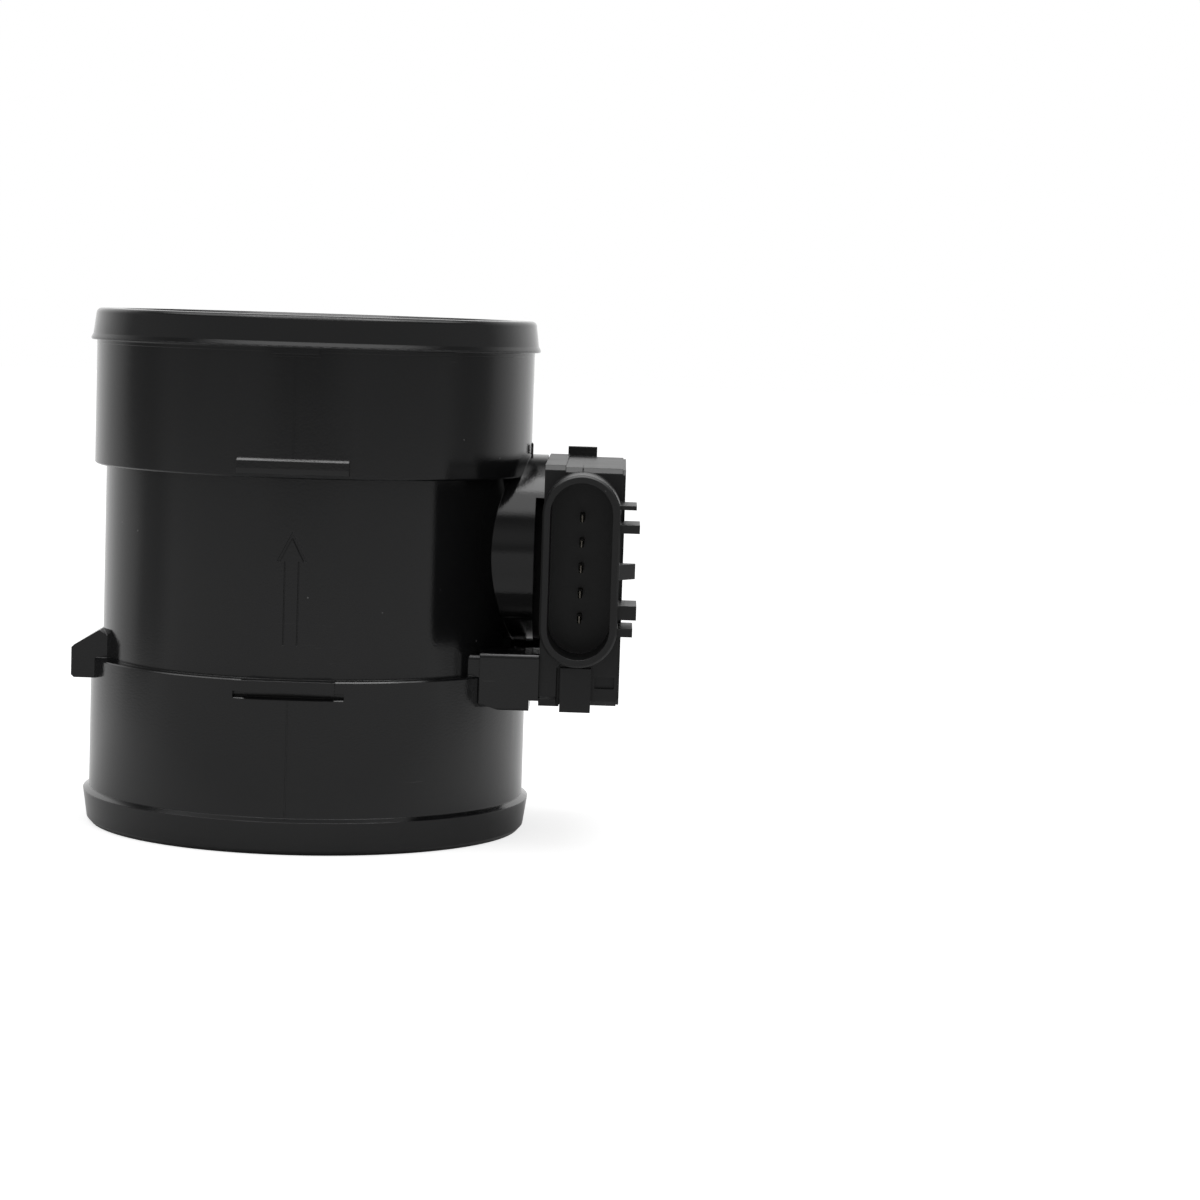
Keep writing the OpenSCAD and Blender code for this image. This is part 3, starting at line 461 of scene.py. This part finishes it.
def glazed_body(name, colour, mottle_colour, roughness, scale=900.0, bump_strength=0.1):
    """A ceramic's, resin's or rubber's material."""
    material = bpy.data.materials.new(name)
    material.use_nodes = True
    skin = add_node(material.node_tree, "ShaderNodeGroup", -700, 100)
    skin.node_tree = ceramic_skin
    for label, value in (("Colour", (*colour, 1)), ("Mottle Colour", (*mottle_colour, 1)),
                         ("Roughness", roughness), ("Scale", scale)):
        skin.inputs[label].default_value = value
    join_skin(material, skin, 0.1, bump_strength, 0.05)
    return material


heated_glass = glazed_body("heated_glass", (0.42, 0.4, 0.36), (0.3, 0.27, 0.22), 0.2)
reference_glass = glazed_body("reference_glass", (0.36, 0.38, 0.36), (0.25, 0.27, 0.25), 0.2)


def wound_element(name, z, half, body_r, turns, material, replaced):
    """A ceramic former with end caps and a fine winding between them, all in one material."""
    cap_r, cap_w, cap_edge = body_r + 0.12, 0.5, 0.06
    winding_r = 0.035
    profile = [(-half, 0.3 * cap_r), (-half, 0.8 * cap_r), (-half + cap_edge, cap_r),
               (-half + cap_w - cap_edge, cap_r), (-half + cap_w, cap_r - cap_edge),
               (-half + cap_w, body_r - winding_r)]
    profile += [(-y, r) for y, r in reversed(profile)]
    sides = 32
    vertices, faces = [], []
    for y, r in profile:
        vertices += [(r * cos(2 * pi * k / sides), y, z + r * sin(2 * pi * k / sides))
                     for k in range(sides)]
    for i in range(len(profile) - 1):
        for k in range(sides):
            n = (k + 1) % sides
            faces.append((i * sides + k, i * sides + n, (i + 1) * sides + n, (i + 1) * sides + k))
    faces.append(tuple(range(sides)))
    faces.append(tuple(reversed([(len(profile) - 1) * sides + k for k in range(sides)])))
    span = 2 * (half - cap_w - winding_r)
    steps = turns * 20
    path = [((body_r - winding_r) * cos(2 * pi * turns * t / steps),
             -span / 2 + span * t / steps,
             z + (body_r - winding_r) * sin(2 * pi * turns * t / steps)) for t in range(steps + 1)]
    coil, coil_faces = tube_along(path, winding_r, 5)
    first = len(vertices)
    vertices += coil
    faces += [tuple(first + i for i in face) for face in coil_faces]
    mesh_piece(name, vertices, faces, material, replaced=replaced)


wound_element("wound_heated_element", 54.0, 1.7, 0.55, 24, heated_glass,
              ("heated_element",))
wound_element("wound_reference_element", 61.0, 1.0, 0.45, 9, reference_glass,
              ("reference_element",))
dress("air_thermistor", glazed_body("bead_resin", (0.02, 0.05, 0.035), (0.015, 0.035, 0.025),
                                    0.15))


# Pedestal gasket
# A flat ring of black rubber, squeezed between the pedestal and the module.

dress("pedestal_gasket", glazed_body("gasket_rubber", (0.012, 0.012, 0.012), (0.018, 0.018, 0.018),
                                     0.6, 1500.0, 0.3))


# Module housing, cover and sealant
# The tray and its connector shroud are one moulding, a little duller than the tube.
# The flat cover drops in on a bead of silicone.

housing_moulding = moulded_plastic("housing_moulding", tube_black, 0.4, edge=0.25,
                                   cloud=0.4, scuff=0.3, dust=0.6)
dress("module_housing", housing_moulding)
housing_seam_x, housing_seam_r = 60.0, 0.09
housing_seam_run = [(26.9, 82.3), (-26.95, 82.3), (-27.0, 82.2), (-27.0, 81.6)]


def housing_seam():
    """A fine ridge over the housing's top where its mould closed."""
    path = [(housing_seam_x, y, z) for y, z in housing_seam_run]
    vertices, faces = tube_along(path, housing_seam_r, 8)
    return mesh_piece("housing_parting_seam", vertices, faces, housing_moulding)


housing_seam()
dress("module_cover", moulded_plastic("cover_moulding", (0.0095, 0.0095, 0.01), 0.42, edge=0.2,
                                      grain_scale=1400.0, grain=0.6))
dress("cover_sealant", glazed_body("silicone_bead", (0.03, 0.03, 0.033), (0.02, 0.02, 0.022), 0.45,
                                   700.0, 0.5))


# Circuit board and what is soldered to it
# Green glass-fibre laminate with small parts in resin and ceramic, under the cover.

dress("circuit_board", glazed_body("board_laminate", (0.012, 0.075, 0.03), (0.02, 0.11, 0.045),
                                   0.25, 350.0, 0.2))
dress("heat_spreader", bare_metal("spreader_metal", (0.62, 0.63, 0.64), 0.35))
dress("driver_chip", glazed_body("chip_resin", (0.02, 0.02, 0.021), (0.028, 0.028, 0.03), 0.5))
dress("power_transistor", glazed_body("transistor_resin", (0.018, 0.018, 0.019),
                                      (0.026, 0.026, 0.027), 0.5))
dress("filter_capacitors", glazed_body("capacitor_body", (0.42, 0.3, 0.16), (0.34, 0.23, 0.11),
                                       0.35))
dress("resistors", glazed_body("resistor_glaze", (0.02, 0.02, 0.022), (0.05, 0.05, 0.05), 0.3))


# Terminals
# Five stamped brass blades with a dull tin plating, in a row inside the shroud; their colour is
# darkened beyond tin's as painted shade.

# The base colour is darker than tin as painted shade from the shroud; the tarnish mottling on top
# of it is the plating's own.
terminal_tin_painted_shade = bare_metal("terminal_tin_painted_shade", (0.2, 0.185, 0.16), 0.25, tarnish=0.4, scale=900.0,
                          edge=0.3, tarnish_colour=(0.1, 0.08, 0.05, 1))
for number in range(1, 6):
    dress(f"terminal_{number}", terminal_tin_painted_shade)


# Module screws
# Zinc-plated pan heads with a six-lobed recess, driven into the pedestal's pilot holes.

screw_zinc = bare_metal("screw_zinc", (0.45, 0.46, 0.48), 0.3, tarnish=0.35, edge=0.08)
screw_places = [(-21.0, 36.0), (21.0, 36.0), (0.0, 77.95)]
head_x, head_h, head_r, head_round = 54.4, 2.0, 2.7, 0.75
neck, shank_r, shank_end_x, tip = 0.6, 1.5, 45.1, 0.8
thread_pitch, thread_deep, thread_steps = 0.9, 0.22, 84
lobe_r, lobe_wave, lobe_edge, recess_deep = 0.98, 0.16, 0.08, 1.1


def screw_set():
    """Each head is a set of rings from the recess out and down to the threaded shank."""
    sides = 48
    vertices, faces = [], []
    for y0, z0 in screw_places:
        rings = []

        def ring(x, radius_at):
            first = len(vertices)
            for k in range(sides):
                turn = 2 * pi * k / sides
                r = radius_at(turn)
                vertices.append((x, y0 + r * cos(turn), z0 + r * sin(turn)))
            rings.append(first)

        lobes = lambda turn: lobe_r + lobe_wave * cos(6 * turn)
        top_x = head_x + head_h
        ring(top_x - recess_deep, lambda turn: 0.55 * lobes(turn))
        ring(top_x - recess_deep, lobes)
        ring(top_x - lobe_edge, lobes)
        ring(top_x, lambda turn: lobes(turn) + lobe_edge)
        ring(top_x, lambda turn: head_r - head_round)
        for step in range(1, 7):
            tilt = radians(90 - 15 * step)
            edge_r = head_r - head_round + head_round * cos(tilt)
            ring(top_x - head_round + head_round * sin(tilt), lambda turn, r=edge_r: r)
        ring(head_x, lambda turn: head_r)
        ring(head_x, lambda turn: shank_r)
        length = head_x - neck - shank_end_x
        for step in range(thread_steps + 1):
            x = head_x - neck - length * step / thread_steps
            fade = min(1.0, (x - shank_end_x) / tip)

            def thread(turn, x=x, fade=fade):
                phase = (x / thread_pitch + turn / (2 * pi)) % 1.0
                return shank_r * (0.7 + 0.3 * fade) - thread_deep * abs(2 * phase - 1)
            ring(x, thread)
        for a, b in zip(rings, rings[1:]):
            for k in range(sides):
                n = (k + 1) % sides
                faces.append((a + k, a + n, b + n, b + k))
        faces.append(tuple(rings[0] + k for k in range(sides)))
        faces.append(tuple(rings[-1] + k for k in reversed(range(sides))))
    return mesh_piece("module_screw_set", vertices, faces, screw_zinc,
                      replaced=("module_screws",))


screw_set()


# Table, light and camera
# A pale table in a dim room with a white wall behind it, under one soft light.
# Shiny surfaces mirror plain tones: a dim opening in front, grey walls and darker sides; on the
# table these are painted light and shade.

def tone_ramp(tree, x, y, stops):
    """A ramp of greys; each stop is a compass angle from the front, in degrees, and a tone."""
    node = add_node(tree, "ShaderNodeValToRGB", x, y)
    elements = node.color_ramp.elements
    while len(elements) < len(stops):
        elements.new(0.5)
    for element, (angle, tone) in zip(elements, stops):
        element.position = (angle + 180) / 360
        element.color = (tone, tone, tone, 1)
    return node


floor_r = 4.0
paper_tone, paper_glow = 0.55, 0.72
# Painted light on the table for reflections: the paper near the sensor is lighter behind it than
# in front.
painted_light_front, painted_light_back = (-0.12, 0.52), (0.08, 0.92)
near_end, far_start = 0.2, 0.42
room_start, room_full = 1.2, 2.2
dim_tone, low_wall_tone, panel_tone = 0.14, 0.34, 2.0
ambient_strength = 0.7
# Painted light and shade on the table for reflections: darker to the sides, lighter behind.
painted_table_side = [(75, 0.5), (85, 0.3), (98, 0.3), (106, 0.55), (140, 0.9), (180, 0.95)]
room_side = [(10, 0.2), (25, 0.3), (75, 0.3), (90, 0.2), (105, 0.2), (115, 0.5), (140, 0.9),
             (180, 1.0)]


def both_sides(stops):
    """The same tones to the left and to the right of the front."""
    return [(-angle, tone) for angle, tone in reversed(stops)] + stops


def build_surroundings():
    """Tones of the table, as painted light and shade, and of the room at its edge, by compass
    direction.
    """
    vector, colour = "NodeSocketVector", "NodeSocketColor"
    group, start, end = make_group("surroundings", [("Place", vector, (0, 0, 0))],
                                   [("Table", colour), ("Room", colour)])
    link = group.links.new
    split = add_node(group, "ShaderNodeSeparateXYZ", -1200, 0)
    link(start.outputs["Place"], split.inputs[0])
    front = add_node(group, "ShaderNodeMath", -1000, -100, operation="MULTIPLY")
    front.inputs[1].default_value = -1.0
    link(split.outputs["Y"], front.inputs[0])
    angle = add_node(group, "ShaderNodeMath", -800, 0, operation="ARCTAN2")
    link(split.outputs["X"], angle.inputs[0])
    link(front.outputs[0], angle.inputs[1])
    share = add_node(group, "ShaderNodeMapRange", -600, 0)
    share.inputs["From Min"].default_value = -pi
    share.inputs["From Max"].default_value = pi
    link(angle.outputs[0], share.inputs["Value"])
    for y, side, label in ((200, painted_table_side, "Table"), (-200, room_side, "Room")):
        ramp = tone_ramp(group, -300, y, both_sides(side))
        link(share.outputs[0], ramp.inputs[0])
        link(ramp.outputs[0], end.inputs[label])
    return group


surroundings = build_surroundings()


def map_range(tree, x, y, source, from_min, from_max, to_min=0.0, to_max=1.0):
    """A value carried from one range to another, and held at its ends."""
    node = add_node(tree, "ShaderNodeMapRange", x, y)
    for label, value in (("From Min", from_min), ("From Max", from_max),
                         ("To Min", to_min), ("To Max", to_max)):
        node.inputs[label].default_value = value
    tree.links.new(source, node.inputs["Value"])
    return node.outputs[0]


def mix_tones(tree, x, y, share, first, second):
    """Two colours mixed by a share; a plain tone may stand for either."""
    node = add_node(tree, "ShaderNodeMix", x, y, data_type="RGBA")
    tree.links.new(share, node.inputs[0])
    for socket, value in ((node.inputs[6], first), (node.inputs[7], second)):
        if isinstance(value, float):
            socket.default_value = (value, value, value, 1)
        else:
            tree.links.new(value, socket)
    return node.outputs[2]


def mirror_ray(tree, path):
    """1 for a ray that a shiny or clear surface sends on."""
    node = add_node(tree, "ShaderNodeMath", -200, 650, operation="MAXIMUM")
    tree.links.new(path.outputs["Is Glossy Ray"], node.inputs[0])
    tree.links.new(path.outputs["Is Transmission Ray"], node.inputs[1])
    return node.outputs[0]


def studio_floor():
    """A wide white table top: white to the camera apart from the sensor's shadow; to reflections,
    painted light and shade.
    """
    sides = 96
    turns = [2 * pi * k / sides for k in range(sides)]
    mesh = bpy.data.meshes.new("studio_floor")
    mesh.from_pydata([(floor_r * cos(turn), floor_r * sin(turn), 0.0) for turn in turns],
                     [], [tuple(range(sides))])
    floor = bpy.data.objects.new("studio_floor", mesh)
    bpy.context.scene.collection.objects.link(floor)
    material = bpy.data.materials.new("studio_floor")
    material.use_nodes = True
    tree = material.node_tree
    tree.nodes.clear()
    link = tree.links.new
    out = add_node(tree, "ShaderNodeOutputMaterial", 1000, 0)
    paper = add_node(tree, "ShaderNodeBsdfDiffuse", 0, 300)
    paper.inputs["Color"].default_value = (paper_tone, paper_tone, paper_tone, 1)
    to_camera = add_node(tree, "ShaderNodeEmission", 0, 150, Strength=paper_glow)
    shown = add_node(tree, "ShaderNodeAddShader", 200, 200)
    link(paper.outputs[0], shown.inputs[0])
    link(to_camera.outputs[0], shown.inputs[1])

    place = add_node(tree, "ShaderNodeTexCoord", -1200, -300).outputs["Object"]
    split = add_node(tree, "ShaderNodeSeparateXYZ", -1000, -200)
    away = add_node(tree, "ShaderNodeVectorMath", -1000, -500, operation="LENGTH")
    tones = add_node(tree, "ShaderNodeGroup", -1000, -350)
    tones.node_tree = surroundings
    link(place, split.inputs[0])
    link(place, away.inputs[0])
    link(place, tones.inputs["Place"])
    distance = away.outputs["Value"]
    # Further out, reflections see the table's painted light and shade by compass direction, then
    # the room's tones.
    far_share = map_range(tree, -750, -450, distance, room_start, room_full)
    far_painted_tone = mix_tones(tree, -500, -350, far_share, tones.outputs["Table"],
                         tones.outputs["Room"])
    # Painted light: near the sensor, reflections see the paper lighter behind than in front.
    near_painted_light = map_range(tree, -750, -150, split.outputs["Y"], painted_light_front[0], painted_light_back[0],
                          painted_light_front[1], painted_light_back[1])
    near_paper_painted_light = add_node(tree, "ShaderNodeBsdfDiffuse", -250, -150)
    far_table_painted_tones = add_node(tree, "ShaderNodeEmission", -250, -350)
    mirrored = add_node(tree, "ShaderNodeMixShader", 0, -250)
    link(near_painted_light, near_paper_painted_light.inputs["Color"])
    link(far_painted_tone, far_table_painted_tones.inputs["Color"])
    link(map_range(tree, -500, -650, distance, near_end, far_start), mirrored.inputs[0])
    link(near_paper_painted_light.outputs[0], mirrored.inputs[1])
    link(far_table_painted_tones.outputs[0], mirrored.inputs[2])

    path = add_node(tree, "ShaderNodeLightPath", -500, 600)
    first_mix = add_node(tree, "ShaderNodeMixShader", 500, 200)
    second_mix = add_node(tree, "ShaderNodeMixShader", 800, 0)
    link(path.outputs["Is Camera Ray"], first_mix.inputs[0])
    link(paper.outputs[0], first_mix.inputs[1])
    link(shown.outputs[0], first_mix.inputs[2])
    link(mirror_ray(tree, path), second_mix.inputs[0])
    link(first_mix.outputs[0], second_mix.inputs[1])
    link(mirrored.outputs[0], second_mix.inputs[2])
    link(second_mix.outputs[0], out.inputs["Surface"])
    mesh.materials.append(material)


studio_floor()


def studio_world():
    """White to the camera; to a reflection, a dim room with a bright wall behind the sensor.

    In front, the wall ends in a dim strip, and a bright ceiling panel starts above it.
    """
    world = bpy.data.worlds.new("studio_world")
    bpy.context.scene.world = world
    world.use_nodes = True
    tree = world.node_tree
    tree.nodes.clear()
    link = tree.links.new
    out = add_node(tree, "ShaderNodeOutputWorld", 1000, 0)
    white = add_node(tree, "ShaderNodeBackground", 300, 300, Strength=1.0)
    ambient = add_node(tree, "ShaderNodeBackground", 300, 100, Strength=ambient_strength)
    mirrored = add_node(tree, "ShaderNodeBackground", 300, -150, Strength=1.0)
    for background in (white, ambient):
        background.inputs["Color"].default_value = (1, 1, 1, 1)
    place = add_node(tree, "ShaderNodeTexCoord", -1200, -150).outputs["Generated"]
    split = add_node(tree, "ShaderNodeSeparateXYZ", -1000, -50)
    tones = add_node(tree, "ShaderNodeGroup", -1000, -300)
    tones.node_tree = surroundings
    link(place, split.inputs[0])
    link(place, tones.inputs["Place"])
    room = tones.outputs["Room"]
    behind = map_range(tree, -750, 100, split.outputs["Y"], 0.2, 0.6)
    low_wall = map_range(tree, -950, 150, split.outputs["Z"], 0.08, 0.18)
    wall_top = map_range(tree, -750, -50, split.outputs["Z"], 0.35, 0.6)
    panel = map_range(tree, -750, -200, split.outputs["Z"], 0.66, 0.76)
    back_top = map_range(tree, -750, -350, split.outputs["Z"], 0.45, 0.7)
    ahead = mix_tones(tree, -700, 50, low_wall, room, low_wall_tone)
    ahead = mix_tones(tree, -500, 0, wall_top, ahead, dim_tone)
    ahead = mix_tones(tree, -300, 0, panel, ahead, panel_tone)
    rear = mix_tones(tree, -500, -250, back_top, room, dim_tone)
    tone = mix_tones(tree, -100, -150, behind, ahead, rear)
    link(tone, mirrored.inputs["Color"])
    path = add_node(tree, "ShaderNodeLightPath", -500, 600)
    first_mix = add_node(tree, "ShaderNodeMixShader", 550, 100)
    second_mix = add_node(tree, "ShaderNodeMixShader", 800, 0)
    link(mirror_ray(tree, path), first_mix.inputs[0])
    link(ambient.outputs[0], first_mix.inputs[1])
    link(mirrored.outputs[0], first_mix.inputs[2])
    link(path.outputs["Is Camera Ray"], second_mix.inputs[0])
    link(first_mix.outputs[0], second_mix.inputs[1])
    link(white.outputs[0], second_mix.inputs[2])
    link(second_mix.outputs[0], out.inputs["Surface"])


studio_world()


def soft_lamp(name, place, target, size_x, size_y, power):
    """An area lamp that faces a point."""
    lamp = bpy.data.lights.new(name, "AREA")
    lamp.shape = "RECTANGLE"
    lamp.size = size_x
    lamp.size_y = size_y
    lamp.energy = power
    holder = bpy.data.objects.new(name, lamp)
    holder.location = place
    holder.rotation_euler = (Vector(target) - Vector(place)).to_track_quat("-Z", "Y").to_euler()
    bpy.context.scene.collection.objects.link(holder)


soft_lamp("overhead_softbox", place=(0.05, -0.045, 1.1), target=(0.05, -0.045, 0.0),
          size_x=0.9, size_y=0.45, power=3.5)

view_lens, film_width = 98.86, 36.0
view_from = Vector((0.06773, -0.7315, 0.11753))
view_yaw, view_pitch, view_roll = radians(-0.261), radians(5.144), radians(1.891)


def photo_camera():
    """The photograph's viewpoint, as fitted to the sensor's outline."""
    forward = Vector((sin(view_yaw) * cos(view_pitch), cos(view_yaw) * cos(view_pitch),
                      -sin(view_pitch)))
    level = Vector((cos(view_yaw), -sin(view_yaw), 0.0))
    level_up = level.cross(forward)
    right = level * cos(view_roll) + level_up * sin(view_roll)
    up = level_up * cos(view_roll) - level * sin(view_roll)
    lens = bpy.data.cameras.new("photo_camera")
    lens.sensor_width = film_width
    lens.lens = view_lens
    lens.clip_start = 0.01
    lens.clip_end = 50.0
    camera = bpy.data.objects.new("photo_camera", lens)
    bpy.context.scene.collection.objects.link(camera)
    turn = Matrix((right, up, -forward)).transposed().to_4x4()
    camera.matrix_world = Matrix.Translation(view_from) @ turn
    bpy.context.scene.camera = camera


photo_camera()
bpy.context.scene.view_settings.view_transform = "Standard"
